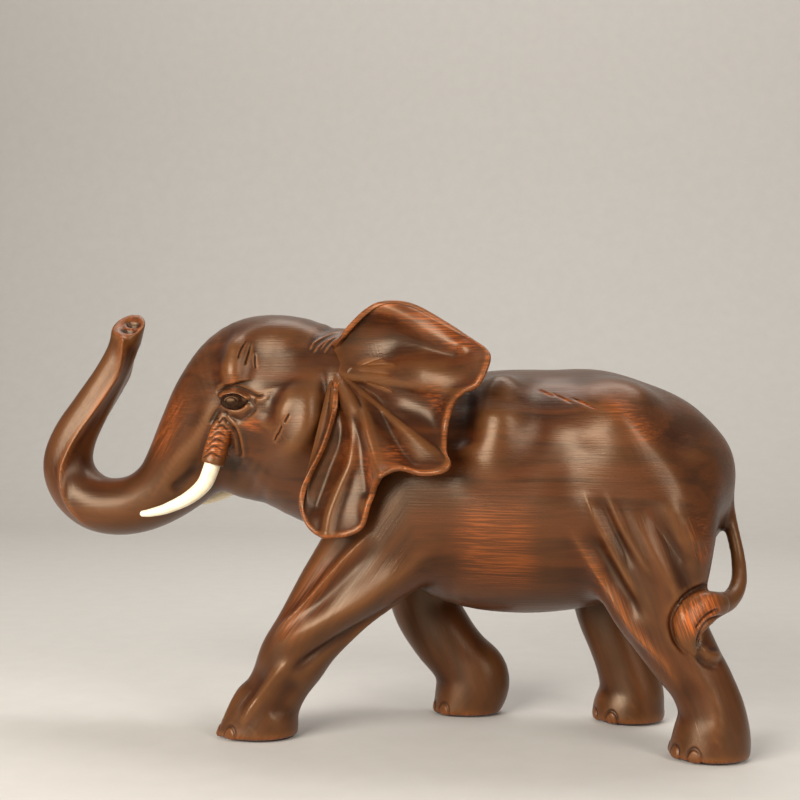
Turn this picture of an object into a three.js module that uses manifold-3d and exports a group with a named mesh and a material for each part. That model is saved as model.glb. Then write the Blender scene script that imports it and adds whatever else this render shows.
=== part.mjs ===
// A carved wooden elephant in a walking pose, trunk raised, about 360 mm long.
//
// Frame: millimetres, +Z up, the floor at Z = 0, the origin under the middle of the bounding box.
// The elephant faces -X, so its left side faces -Y.
//
// It is carved from glued-up blocks: the body with its legs and tail, the head with its trunk, and two ears.
// Dowels line up the blocks at the neck and the ears. The ivory-coloured tusks sit on round tenons in bored
// sheaths, the eyes are beads in bored sockets, and a felt pad is stuck under each foot.

import * as THREE from 'three';
import { LoftGeometry } from 'three/addons/geometries/LoftGeometry.js';
import { mergeVertices } from 'three/addons/utils/BufferGeometryUtils.js';
import Module from 'manifold-3d';

const wasm = await Module();
wasm.setup();

// ---- Driving dimensions ----

const GLUE_GAP = 0.3; // glue line between two blocks, and round each part set in a hole
const PAD_THICKNESS = 1.0;
const SOLE_HEIGHT = PAD_THICKNESS + 0.1; // the soles are cut flat here, on the pads' adhesive
const LEG_TRACK = 33; // lateral distance of each foot from the middle plane

const NECK_SEAM_TOP = new THREE.Vector2(12, 201); // the neck seam's line in the middle plane: X, Z
const NECK_SEAM_BOTTOM = new THREE.Vector2(-34, 91);
const NECK_DOWEL = { radius: 5, length: 44 };
const NECK_DOWEL_HEIGHTS = { upper: 168, lower: 128 };

const EAR_THICKNESS = { root: 7, rim: 2.6 };
const EAR_ROOT = new THREE.Vector2(-12, 33); // where the ears fan out from: X, and distance from the middle
const RIGHT_EAR = { reach: 0.85, depth: 0.707, turn: THREE.MathUtils.degToRad(14) };
const EAR_DOWEL = { radius: 2, length: 16 };
const EAR_DOWEL_START = new THREE.Vector3(-6, -18, 176); // the left one's inner end

const SHEATH_TOP = new THREE.Vector3(-70, -30, 153); // the left tusk sheath's axis
const SHEATH_MOUTH = new THREE.Vector3(-75.5, -32.5, 132);
const SHEATH_RADIUS = { top: 3.6, middle: 5.2, mouth: 5.7 };
const TUSK_TENON = { radius: 2.2, length: 12 };

const EYE_CENTRE = new THREE.Vector3(-64, -35.2, 161.5); // the left eye, on the head's surface
const EYE = { radius: 4.6, dome: 2.4, stem: 4 };

// ---- Materials ----

const darkWood = new THREE.MeshStandardMaterial({ color: 0x4a2a17, roughness: 0.42, metalness: 0 });
const ivory = new THREE.MeshStandardMaterial({ color: 0xeadfbf, roughness: 0.35, metalness: 0 });
const eyeWood = new THREE.MeshStandardMaterial({ color: 0x1d110b, roughness: 0.2, metalness: 0 });
const dowelWood = new THREE.MeshStandardMaterial({ color: 0xb98a56, roughness: 0.7, metalness: 0 });
const felt = new THREE.MeshStandardMaterial({ color: 0x2a211c, roughness: 1, metalness: 0 });

// ---- Solids and booleans ----

// A closed geometry as a manifold-3d solid.
function solid(geometry) {
  const bare = geometry.index ? geometry.toNonIndexed() : geometry.clone();
  bare.deleteAttribute('normal');
  bare.deleteAttribute('uv');
  const merged = mergeVertices(bare, 1e-3);
  return new wasm.Manifold(new wasm.Mesh({
    numProp: 3,
    vertProperties: new Float32Array(merged.attributes.position.array),
    triVerts: new Uint32Array(merged.index.array),
  }));
}

// Joins solids into one.
function join(...solids) {
  return solids.reduce((all, next) => all.add(next));
}

// A named mesh of a solid.
function part(name, made, material) {
  const { vertProperties, triVerts } = made.getMesh();
  const geometry = new THREE.BufferGeometry()
    .setAttribute('position', new THREE.BufferAttribute(vertProperties, 3))
    .setIndex(new THREE.BufferAttribute(triVerts, 1));
  geometry.computeVertexNormals();
  const mesh = new THREE.Mesh(geometry, material);
  mesh.name = name;
  return mesh;
}

// The same solid on the other side of the middle plane.
function mirrored(geometry) {
  const copy = (geometry.index ? geometry.toNonIndexed() : geometry.clone()).scale(1, -1, 1);
  const { array } = copy.attributes.position;
  for (let i = 0; i < array.length; i += 9)
    for (let axis = 0; axis < 3; axis++)
      [array[i + axis], array[i + 3 + axis]] = [array[i + 3 + axis], array[i + axis]];
  return copy;
}

// A cylinder from one point towards another.
function rod(from, to, radius, sides = 20) {
  const along = new THREE.Vector3().subVectors(to, from);
  const length = along.length();
  const turn = new THREE.Quaternion().setFromUnitVectors(new THREE.Vector3(0, 1, 0), along.normalize());
  return new THREE.CylinderGeometry(radius, radius, length, sides)
    .translate(0, length / 2, 0)
    .applyQuaternion(turn)
    .translate(from.x, from.y, from.z);
}

// An ellipsoid at a place, with its half-sizes along X, Y and Z.
function ellipsoid(centre, radii, detail = 14) {
  return new THREE.SphereGeometry(1, 2 * detail, detail).scale(...radii).translate(...centre);
}

// ---- Limbs: oval sections lofted along a smooth spine ----

const DOME_BULGE = 0.5; // how far a limb's rounded end stands out, as a share of its smaller half-size
const DOME_ANGLES = [28, 54, 76].map(THREE.MathUtils.degToRad);

// Each station is [x, y, z, half-depth in the side view, half-width across]. Rounded ends close it.
function limb(stations, { rings = 16, sides = 20 } = {}) {
  const spine = new THREE.CatmullRomCurve3(
    stations.map(([x, y, z]) => new THREE.Vector3(x, y, z)), false, 'catmullrom');
  const sizes = new THREE.CatmullRomCurve3(
    stations.map(([, , , depth, width]) => new THREE.Vector3(depth, width, 0)), false, 'catmullrom');
  const sections = [];
  for (let i = 0; i <= rings; i++) {
    const t = i / rings;
    const centre = spine.getPoint(t);
    const tangent = spine.getTangent(t);
    const size = sizes.getPoint(t);
    const across = new THREE.Vector3(0, 1, 0).addScaledVector(tangent, -tangent.y).normalize();
    const up = new THREE.Vector3().crossVectors(tangent, across);
    const ring = (scale, shift) => Array.from({ length: sides }, (_, k) => {
      const angle = (2 * Math.PI * k) / sides;
      return centre.clone()
        .addScaledVector(tangent, shift)
        .addScaledVector(across, scale * size.y * Math.cos(angle))
        .addScaledVector(up, scale * size.x * Math.sin(angle));
    });
    const bulge = DOME_BULGE * Math.min(size.x, size.y);
    const dome = (side) => DOME_ANGLES.map((angle) => ring(Math.cos(angle), side * bulge * Math.sin(angle)));
    if (i === 0) sections.push(...dome(-1).reverse());
    sections.push(ring(1, 0));
    if (i === rings) sections.push(...dome(1));
  }
  return new LoftGeometry(sections, { capStart: true, capEnd: true });
}

// ---- The body block: torso, legs and tail ----

const torso = limb([
  [-12, 0, 146, 47, 34], [8, 0, 139, 48, 40], [30, 0, 127, 53, 45], [50, 0, 119, 58.5, 49],
  [70, 0, 118, 59.5, 52], [90, 0, 119, 58.5, 52], [108, 0, 122, 56, 49.5], [125, 0, 124, 50, 45],
  [140, 0, 122, 42.5, 39], [151, 0, 121, 34, 31], [160, 0, 119, 23, 20],
], { rings: 20, sides: 32 });

const leftForeleg = limb([
  [22, -31, 124, 30, 17], [8, -34, 94, 27, 17], [-12, -35, 70, 21, 15.5], [-29, -35, 48.5, 16.5, 14],
  [-40, -34, 32, 15, 13.5], [-46, -LEG_TRACK, 19, 15.5, 14.5], [-51, -LEG_TRACK, 9, 18.5, 16.5],
  [-54, -LEG_TRACK, -3, 21.5, 18],
]);

const rightForeleg = limb([
  [24, 31, 108, 27, 17], [17, 34, 78, 21, 15.5], [18, 34, 56, 18, 14.5], [27, LEG_TRACK, 40, 17, 14],
  [36, LEG_TRACK, 28, 16, 13.5], [42, LEG_TRACK, 18, 17, 14], [39, LEG_TRACK, 8, 18, 15],
  [35, LEG_TRACK, -3, 15, 15],
]);

const leftHindLeg = limb([
  [128, -21, 120, 35, 22], [134, -31, 100, 30, 20], [136, -34, 76, 24, 17], [143, -34, 58, 18, 15.5],
  [151, -34, 43.5, 16, 14.5], [159, -LEG_TRACK, 31, 15, 14], [163.5, -LEG_TRACK, 19, 15.5, 15],
  [162, -LEG_TRACK, 9, 17.5, 16.5], [160, -LEG_TRACK, -3, 18.7, 17.5],
]);

const rightHindLeg = limb([
  [124, 21, 120, 33, 22], [115, 31, 96, 26, 20], [111, 34, 72, 19, 16.5], [112, 34, 54, 15.5, 15],
  [116, LEG_TRACK, 41, 14, 14], [121, LEG_TRACK, 28, 14.5, 14], [124.5, LEG_TRACK, 14.5, 16, 15],
  [123, LEG_TRACK, 6, 18, 16.5], [122.5, LEG_TRACK, -3, 18.5, 17],
]);

const tail = limb([
  [158, 0, 130, 7, 8], [167, 0, 118, 5.5, 6], [171.5, -3, 102, 3.4, 3.6], [174, -8, 87, 3.2, 3.4],
  [173, -16, 75, 3.3, 3.4], [165, -26, 68, 4, 4], [154, -36, 68, 6.5, 5], [147, -41, 62, 6, 5],
  [143, -43, 52, 3.4, 4], [142, -43, 46.5, 1.6, 3],
], { rings: 22, sides: 12 });

// ---- The head block: neck, head, trunk and tusk sheaths ----

const headAndTrunk = limb([
  [-134, -2, 203, 9.6, 10], [-137, 0, 190, 7.8, 8.5], [-143, 0, 176, 8.3, 9], [-153, 0, 159, 9.8, 10.5],
  [-162.5, 0, 143, 11.5, 12.5], [-166.4, 0, 129, 12.9, 14], [-161.5, 0, 117, 13.6, 15],
  [-151, 0, 109, 14.3, 16], [-138, 0, 107, 14.8, 17], [-124, 0, 110, 15.5, 18],
  [-111, 0, 118, 17.5, 19.5], [-100, 0, 130, 21.5, 22], [-89, 0, 144, 26.5, 26],
  [-77, 0, 155, 34, 30], [-63, 0, 162, 42, 35], [-48, 0, 162, 43, 38],
  [-32, 0, 152, 49, 37], [-12, 0, 146, 50, 36], [10, 0, 140, 48, 39],
], { rings: 46, sides: 24 });
const jaw = ellipsoid([-66, 0, 127], [19, 19, 13]);
const leftCheek = ellipsoid([-42, -18, 146], [24, 21, 28]);
const leftBrow = ellipsoid([-63, -21, 174], [14, 14, 16]);

// The trunk's end is cut flat, leaning towards the elephant's left.
const trunkEndCutter = new THREE.BoxGeometry(60, 60, 30)
  .translate(0, 0, 15)
  .rotateX(THREE.MathUtils.degToRad(22))
  .rotateY(THREE.MathUtils.degToRad(-6))
  .translate(-133, 0, 202.5);

const sheathAxis = new THREE.Vector3().subVectors(SHEATH_MOUTH, SHEATH_TOP);
const sheathMiddle = SHEATH_TOP.clone().addScaledVector(sheathAxis, 0.5);
const leftSheath = limb([
  [...SHEATH_TOP, SHEATH_RADIUS.top, SHEATH_RADIUS.top],
  [...sheathMiddle, SHEATH_RADIUS.middle, SHEATH_RADIUS.middle],
  [...SHEATH_MOUTH, SHEATH_RADIUS.mouth, SHEATH_RADIUS.mouth],
], { rings: 6, sides: 16 });
sheathAxis.normalize();

// Everything past the sheath's mouth is cut away, so that the tusk's shoulder has a flat seat.
const mouthCutter = rod(SHEATH_MOUTH, SHEATH_MOUTH.clone().addScaledVector(sheathAxis, 20), 9);
const tuskSocket = rod(
  SHEATH_MOUTH.clone().addScaledVector(sheathAxis, -TUSK_TENON.length - GLUE_GAP),
  SHEATH_MOUTH.clone().addScaledVector(sheathAxis, 1),
  TUSK_TENON.radius + GLUE_GAP / 2, 16);

const eyeAxis = new THREE.Vector3(-0.12, -1, 0.05).normalize();
const eyeSocket = rod(
  EYE_CENTRE.clone().addScaledVector(eyeAxis, -EYE.stem - GLUE_GAP),
  EYE_CENTRE.clone().addScaledVector(eyeAxis, 12),
  EYE.radius + GLUE_GAP / 2);

// ---- Ears: a fan of spokes with a rippled rim ----

// Each spoke of the left ear is [root x, root z, rim x, rim z, rim y, fold]: where it leaves the head, where
// it ends, how far out its rim stands, and how far its middle is pushed out (+) or in (-) to make the folds.
const EAR_SPOKES = [
  [-15, 194, -9, 201, 41, 0], [-14, 193, 3, 206, 47, -2], [-13, 190, 16, 209, 52, -5],
  [-12, 187, 29, 204, 55, -7], [-12, 184, 41, 198, 57, -7], [-12, 182, 52, 192, 58, -4],
  [-12, 180, 62, 184, 60, 1], [-12, 178, 61, 174, 62, 5], [-12, 177, 50, 165, 66, 5],
  [-12, 176, 44, 156, 65, 0], [-12, 175, 43, 146, 60, -3], [-12, 174, 46, 137, 60, 1],
  [-12, 173, 35, 131, 65, 4], [-12, 172, 23, 132, 68, 3], [-12, 170, 15, 126, 65, -1],
  [-12, 168, 11, 117, 60, -2], [-12, 166, 8, 107, 58, 1], [-12, 164, -3, 101, 60, 3],
  [-12, 163, -15, 102, 60, 3], [-13, 162, -22, 112, 57, 2], [-13, 161, -22, 126, 52, 1],
];

// One spoke as a closed section: out along the back face and back along the front face.
function earSection([rootX, rootZ, rimX, rimZ, rimY, fold], extra) {
  const steps = 7;
  const face = (side) => Array.from({ length: steps + 1 }, (_, i) => {
    const t = i / steps;
    const half = THREE.MathUtils.lerp(EAR_THICKNESS.root, EAR_THICKNESS.rim, Math.sqrt(t)) / 2 + extra;
    const out = THREE.MathUtils.lerp(EAR_ROOT.y, rimY, t ** 0.8) + fold * Math.sin(Math.PI * t);
    return new THREE.Vector3(
      THREE.MathUtils.lerp(rootX, rimX, t), -out - side * half, THREE.MathUtils.lerp(rootZ, rimZ, t));
  });
  return [...face(-1), ...face(1).reverse()];
}

// The left ear. Extra makes it thicker, which is how the head gets a seat with room for glue.
function leftEarShape(extra = 0) {
  const sections = EAR_SPOKES.map((spoke) => earSection(spoke, extra));
  return new LoftGeometry(sections, { capStart: true, capEnd: true });
}

// The right ear is the left one mirrored, made shorter and flatter and turned forwards about its root.
function rightEarShape(extra = 0) {
  return mirrored(leftEarShape(extra))
    .translate(-EAR_ROOT.x, -EAR_ROOT.y, 0)
    .scale(RIGHT_EAR.reach, RIGHT_EAR.depth, 1)
    .rotateZ(RIGHT_EAR.turn)
    .translate(EAR_ROOT.x, EAR_ROOT.y, 0);
}

// ---- Tusks, eyes, dowels and pads ----

const earDowelEnd = EAR_DOWEL_START.clone().add(new THREE.Vector3(0, -EAR_DOWEL.length, 0));
const leftEarDowel = rod(EAR_DOWEL_START, earDowelEnd, EAR_DOWEL.radius, 14);
const earDowelHole = rod(
  EAR_DOWEL_START.clone().add(new THREE.Vector3(0, GLUE_GAP, 0)),
  earDowelEnd.clone().add(new THREE.Vector3(0, -GLUE_GAP, 0)), EAR_DOWEL.radius + GLUE_GAP / 2, 14);

// A tusk is a tapering horn, with a shoulder that seats on the sheath's mouth, and a tenon up the sheath.
const tuskShoulder = SHEATH_MOUTH.clone().addScaledVector(sheathAxis, GLUE_GAP + 2);
const tuskHorn = limb([
  [...tuskShoulder, 3.9, 3.7], [-79.5, -34, 122, 3.7, 3.5], [-88, -35.5, 114.5, 3.2, 3.1],
  [-99, -36.5, 109.5, 2.6, 2.5], [-111, -36.5, 107, 1.5, 1.5],
], { rings: 14, sides: 14 });
const tenonEnd = SHEATH_MOUTH.clone().addScaledVector(sheathAxis, -TUSK_TENON.length);
const tuskTenon = rod(tenonEnd, tuskShoulder, TUSK_TENON.radius, 16);

// A domed bead on a short round stem, pointing along +Y before it is turned.
function eyeBead() {
  const profile = [new THREE.Vector2(0, -EYE.stem), new THREE.Vector2(EYE.radius, -EYE.stem)];
  for (let i = 0; i <= 6; i++) {
    const angle = (i / 6) * Math.PI / 2;
    profile.push(new THREE.Vector2(EYE.radius * Math.cos(angle), EYE.dome * Math.sin(angle)));
  }
  profile[profile.length - 1].x = 0;
  const turn = new THREE.Quaternion().setFromUnitVectors(new THREE.Vector3(0, 1, 0), eyeAxis);
  return new THREE.LatheGeometry(profile, 20).applyQuaternion(turn).translate(...EYE_CENTRE);
}

// A neck dowel lies across the seam, square to it.
const seamDirection = new THREE.Vector2().subVectors(NECK_SEAM_TOP, NECK_SEAM_BOTTOM).normalize();
const seamNormal = new THREE.Vector3(-seamDirection.y, 0, seamDirection.x);

function neckDowel(height, radius, length) {
  const t = (height - NECK_SEAM_BOTTOM.y) / (NECK_SEAM_TOP.y - NECK_SEAM_BOTTOM.y);
  const x = THREE.MathUtils.lerp(NECK_SEAM_BOTTOM.x, NECK_SEAM_TOP.x, t);
  const middle = new THREE.Vector3(x, 0, height);
  return rod(
    middle.clone().addScaledVector(seamNormal, -length / 2),
    middle.clone().addScaledVector(seamNormal, length / 2), radius);
}

// An oval felt pad under a foot.
function pad(x, y, halfLength, halfWidth) {
  return new THREE.CylinderGeometry(1, 1, PAD_THICKNESS, 28)
    .rotateX(Math.PI / 2)
    .scale(halfLength, halfWidth, 1)
    .translate(x, y, PAD_THICKNESS / 2);
}

// ---- Cutting the blocks apart ----

const belowSoles = solid(new THREE.BoxGeometry(600, 400, 60).translate(0, 0, SOLE_HEIGHT - 30));

// The space on the head block's side of the neck seam, moved forwards from it by a shift.
function headSide(shift) {
  const beyondTop = NECK_SEAM_TOP.clone().addScaledVector(seamDirection, 60);
  const outline = new THREE.Shape([
    new THREE.Vector2(-300, 80), NECK_SEAM_BOTTOM, beyondTop, new THREE.Vector2(-300, beyondTop.y),
  ]);
  return solid(new THREE.ExtrudeGeometry(outline, { depth: 200, bevelEnabled: false })
    .rotateX(Math.PI / 2)
    .translate(-shift, 100, 0));
}

const carving = join(
  ...[torso, leftForeleg, rightForeleg, leftHindLeg, rightHindLeg, tail, headAndTrunk, jaw,
    leftCheek, mirrored(leftCheek), leftBrow, mirrored(leftBrow)].map(solid),
).subtract(belowSoles);

const neckHoles = Object.values(NECK_DOWEL_HEIGHTS).map((height) =>
  solid(neckDowel(height, NECK_DOWEL.radius + GLUE_GAP / 2, NECK_DOWEL.length + 2 * GLUE_GAP)));

const body = neckHoles.reduce((made, hole) => made.subtract(hole), carving.subtract(headSide(0)));

let head = carving.intersect(headSide(GLUE_GAP)).subtract(solid(trunkEndCutter));
head = join(head, solid(leftSheath), solid(mirrored(leftSheath)));
head = neckHoles.reduce((made, hole) => made.subtract(hole), head);
for (const cut of [mouthCutter, tuskSocket, eyeSocket, earDowelHole])
  head = head.subtract(solid(cut)).subtract(solid(mirrored(cut)));
head = head.subtract(solid(leftEarShape(GLUE_GAP))).subtract(solid(rightEarShape(GLUE_GAP)));

const leftEar = solid(leftEarShape()).subtract(solid(earDowelHole));
const rightEar = solid(rightEarShape()).subtract(solid(mirrored(earDowelHole)));

const leftTusk = join(solid(tuskHorn), solid(tuskTenon));
const rightTusk = join(solid(mirrored(tuskHorn)), solid(mirrored(tuskTenon)));

const [upperNeckDowel, lowerNeckDowel] = Object.values(NECK_DOWEL_HEIGHTS).map((height) =>
  solid(neckDowel(height, NECK_DOWEL.radius, NECK_DOWEL.length)));

// ---- The assembly ----

const elephant = new THREE.Group();
elephant.add(
  part('body', body, darkWood),
  part('head', head, darkWood),
  part('left_ear', leftEar, darkWood),
  part('right_ear', rightEar, darkWood),
  part('left_tusk', leftTusk, ivory),
  part('right_tusk', rightTusk, ivory),
  part('left_eye', solid(eyeBead()), eyeWood),
  part('right_eye', solid(mirrored(eyeBead())), eyeWood),
  part('neck_dowel_upper', upperNeckDowel, dowelWood),
  part('neck_dowel_lower', lowerNeckDowel, dowelWood),
  part('left_ear_dowel', solid(leftEarDowel), dowelWood),
  part('right_ear_dowel', solid(mirrored(leftEarDowel)), dowelWood),
  part('pad_front_left', solid(pad(-53, -LEG_TRACK, 18, 14)), felt),
  part('pad_front_right', solid(pad(36, LEG_TRACK, 12, 11)), felt),
  part('pad_rear_left', solid(pad(161, -LEG_TRACK, 15, 14)), felt),
  part('pad_rear_right', solid(pad(122.5, LEG_TRACK, 14.5, 13.5)), felt),
);

export default elephant;
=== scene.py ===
"""The looks of the carved wooden elephant: its sculpted surface, its stain and wax, and the studio round it.

The head and body blocks are modelled as clay: a distance field in millimetres, built up from limbs and lumps
that flow into each other. The ears are sheets fanned out from their roots. The skin of each is then worked
over with strokes, as a gouge works wood, and coloured by one stained-wood material.
"""

import functools
import math

import bpy
import numpy as np
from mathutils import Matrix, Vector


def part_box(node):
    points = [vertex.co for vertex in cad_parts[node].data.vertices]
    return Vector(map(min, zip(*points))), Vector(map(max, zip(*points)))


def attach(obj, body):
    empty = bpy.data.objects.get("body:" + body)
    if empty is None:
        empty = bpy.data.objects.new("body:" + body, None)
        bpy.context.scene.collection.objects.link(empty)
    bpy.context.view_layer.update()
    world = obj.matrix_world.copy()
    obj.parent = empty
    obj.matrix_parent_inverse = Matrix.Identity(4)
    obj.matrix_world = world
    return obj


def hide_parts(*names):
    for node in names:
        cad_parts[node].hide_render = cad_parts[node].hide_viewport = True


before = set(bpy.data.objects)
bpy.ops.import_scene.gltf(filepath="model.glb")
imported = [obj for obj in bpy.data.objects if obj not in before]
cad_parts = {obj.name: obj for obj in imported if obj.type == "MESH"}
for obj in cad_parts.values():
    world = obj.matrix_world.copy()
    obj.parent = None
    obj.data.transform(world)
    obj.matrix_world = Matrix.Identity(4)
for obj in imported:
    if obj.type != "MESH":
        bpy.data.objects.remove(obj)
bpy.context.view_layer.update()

import openvdb
from mathutils import Vector

MM = 0.001
LEFT, RIGHT, BOTH = -1, 1, 0
BODY_STEP = 0.85  # the field's spacing, in millimetres
HEAD_STEP = 0.62


# ---- Curves ----

def spline(rows, per_span=6):
    """A smooth curve through rows of numbers, per_span points to each span."""
    rows = np.asarray(rows, float)
    ends = np.vstack([2 * rows[0] - rows[1], rows, 2 * rows[-1] - rows[-2]])
    t = np.linspace(0, 1, per_span, endpoint=False)[:, None]
    spans = []
    for a, b, c, d in zip(ends, ends[1:], ends[2:], ends[3:]):
        cubic = 3 * b - a - 3 * c + d
        square = 2 * a - 5 * b + 4 * c - d
        spans.append(0.5 * (2 * b + (c - a) * t + square * t**2 + cubic * t**3))
    return np.vstack(spans + [rows[-1:]])


def smoothstep(low, high, value):
    t = np.clip((value - low) / (high - low), 0, 1)
    return t * t * (3 - 2 * t)


def closest(points, line):
    """For each point: its distance from a polyline, its share of the way along, and which side it is on."""
    best = np.full(len(points), np.inf)
    share = np.zeros(len(points))
    hand = np.zeros(len(points))
    for k, (a, b) in enumerate(zip(line, line[1:])):
        step = b - a
        t = np.clip(((points - a) @ step) / max(step @ step, 1e-9), 0, 1)
        gap = points - (a + t[:, None] * step)
        distance = np.linalg.norm(gap, axis=1)
        closer = distance < best
        best = np.where(closer, distance, best)
        share = np.where(closer, (k + t) / (len(line) - 1), share)
        hand = np.where(closer, np.sign(step[0] * gap[:, 1] - step[1] * gap[:, 0]), hand)
    return best, share, hand


def stroke_shape(points, path, width, other, power, fade):
    """How strongly a stroke along a path touches each point, from 0 to 1."""
    line = spline(path, 8)
    distance, share, hand = closest(points, line)
    reach = np.where(hand < 0, other or width, width)
    amount = np.exp(-((distance / reach) ** power))
    if fade[0]:
        amount *= smoothstep(0, fade[0], share)
    if fade[1]:
        amount *= smoothstep(0, fade[1], 1 - share)
    return amount


# ---- Clay: a distance field that limbs and lumps are added to ----

class Clay:
    FAR = 20.0

    def __init__(self, low, high, step):
        self.low = np.asarray(low, float)
        self.step = step
        self.shape = np.ceil((np.asarray(high) - self.low) / step).astype(int) + 1
        self.field = np.full(self.shape, self.FAR, np.float32)

    def block(self, low, high):
        """The part of the grid between two corners: its slices, and its coordinates as open grids."""
        first = np.clip(np.floor((low - self.low) / self.step).astype(int), 0, self.shape - 1)
        last = np.clip(np.ceil((high - self.low) / self.step).astype(int) + 1, first + 1, self.shape)
        slices = tuple(slice(a, b) for a, b in zip(first, last))
        axes = [self.low[k] + self.step * np.arange(first[k], last[k]) for k in range(3)]
        return slices, np.ix_(*[axis.astype(np.float32) for axis in axes])

    def join(self, slices, added, blend):
        old = self.field[slices]
        share = np.clip(0.5 + 0.5 * (old - added) / blend, 0, 1)
        self.field[slices] = old + (added - old) * share - blend * share * (1 - share)

    def carve(self, slices, removed, blend):
        self.field[slices] *= -1
        self.join(slices, removed, blend)
        self.field[slices] *= -1

    def lump(self, centre, radii, blend, cut=False, axes=None):
        """Adds, or cuts away, an ellipsoid, with axes of its own if it is turned."""
        centre = np.asarray(centre, float)
        reach = (np.asarray(radii, float) if axes is None else max(radii)) + blend + 4
        slices, (x, y, z) = self.block(centre - reach, centre + reach)
        offset = (x - centre[0], y - centre[1], z - centre[2])
        if axes is not None:
            offset = [sum(part * o for part, o in zip(axis, offset)) for axis in axes]
        distance = oval_distance(offset, radii)
        if cut:
            self.carve(slices, distance, blend)
        else:
            self.join(slices, distance, blend)

    def limb(self, stations, blend, roundness=0.8):
        """Adds a limb. Each station is [x, y, z, half-depth in the side view, half-width across]."""
        rows = spline(stations)
        reach = rows[:, 3:].max() + blend + 4
        slices, _ = self.block(rows[:, :3].min(0) - reach, rows[:, :3].max(0) + reach)
        start = np.array([part.start for part in slices])
        distance = np.full(self.field[slices].shape, self.FAR, np.float32)
        for a, b in zip(rows, rows[1:]):
            near = max(a[3:].max(), b[3:].max()) + blend + 4
            span, grids = self.block(np.minimum(a[:3], b[:3]) - near, np.maximum(a[:3], b[:3]) + near)
            inner = tuple(slice(s.start - o, s.stop - o) for s, o in zip(span, start))
            piece = segment_distance(grids, a, b, roundness)
            distance[inner] = np.minimum(distance[inner], piece)
        self.join(slices, distance, blend)

    def keep_behind(self, point, normal, blend=0.6, reach=None):
        """Cuts away everything in front of a plane, or only what is within reach of its point."""
        if reach:
            slices, (x, y, z) = self.block(np.array(point) - reach, np.array(point) + reach)
        else:
            slices, (x, y, z) = self.block(self.low, self.low + self.shape * self.step)
        nx, ny, nz = np.asarray(normal, float) / np.linalg.norm(normal)
        ahead = (x - point[0]) * nx + (y - point[1]) * ny + (z - point[2]) * nz
        self.carve(slices, -ahead, blend)

    def skin(self):
        band = 3 * self.step
        grid = openvdb.FloatGrid(band)
        grid.copyFromArray(np.clip(self.field, -band, band))
        points, quads = grid.convertToQuads(0.0)
        vertices = self.low + points.astype(float) * self.step
        triangles = np.vstack([quads[:, [0, 1, 2]], quads[:, [0, 2, 3]]]).astype(np.int64)
        return Skin(vertices, triangles)


def oval_distance(offset, radii):
    """The distance to an ellipsoid's surface, near enough, from offsets along its own axes."""
    near = sum((o / r) ** 2 for o, r in zip(offset, radii))
    slope = sum((o / r**2) ** 2 for o, r in zip(offset, radii))
    near = np.sqrt(near)
    return near * (near - 1) / np.sqrt(slope + 1e-9)


def segment_distance(grids, a, b, roundness):
    """The distance to a short oval tube between two stations, with rounded ends."""
    x, y, z = (grid - a[k] for k, grid in enumerate(grids))
    length = np.linalg.norm(b[:3] - a[:3])
    tangent = (b[:3] - a[:3]) / length
    across = np.array([0.0, 1.0, 0.0]) - tangent * tangent[1]
    across /= np.linalg.norm(across)
    up = np.cross(tangent, across)
    along = x * tangent[0] + y * tangent[1] + z * tangent[2]
    share = np.clip(along / length, 0, 1)
    depth = a[3] + (b[3] - a[3]) * share
    width = a[4] + (b[4] - a[4]) * share
    offset = (
        x * up[0] + y * up[1] + z * up[2],
        x * across[0] + y * across[1] + z * across[2],
        along - share * length,
    )
    return oval_distance(offset, (depth, width, roundness * np.minimum(depth, width)))


# ---- Skin: a triangle mesh that strokes are worked into ----

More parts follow.
